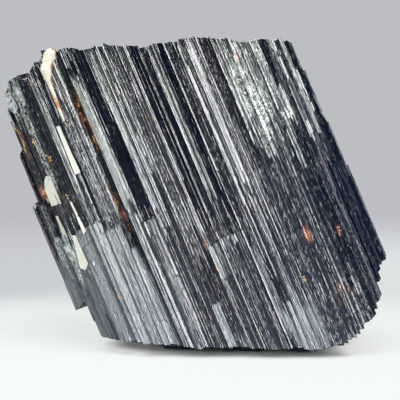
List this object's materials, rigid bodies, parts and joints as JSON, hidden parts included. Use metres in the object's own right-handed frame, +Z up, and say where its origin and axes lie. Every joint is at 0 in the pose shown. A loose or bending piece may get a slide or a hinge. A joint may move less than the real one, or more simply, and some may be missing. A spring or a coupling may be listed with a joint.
{
  "type": "tourmaline crystal",
  "caption": "Chunk of black tourmaline: parallel striated columns grown together, standing on a broken base, with a cream vein and rusty stains. A display stone.",
  "frame": {"origin": "on the ground under the middle of the bounding box", "axes": "+Z up, +X to the right across the wide striated front face, +Y from that face to the back. The columns lean 23 degrees left of +Z and 5 degrees back."},
  "size_m": [0.0737, 0.0403, 0.0598],
  "materials": {
    "tourmaline": "natural glassy black crystal faces with fine lengthwise striations, duller where broken"
  },
  "bodies": {
    "root": {"tourmaline_crystal": "tourmaline"}
  },
  "joints": []
}
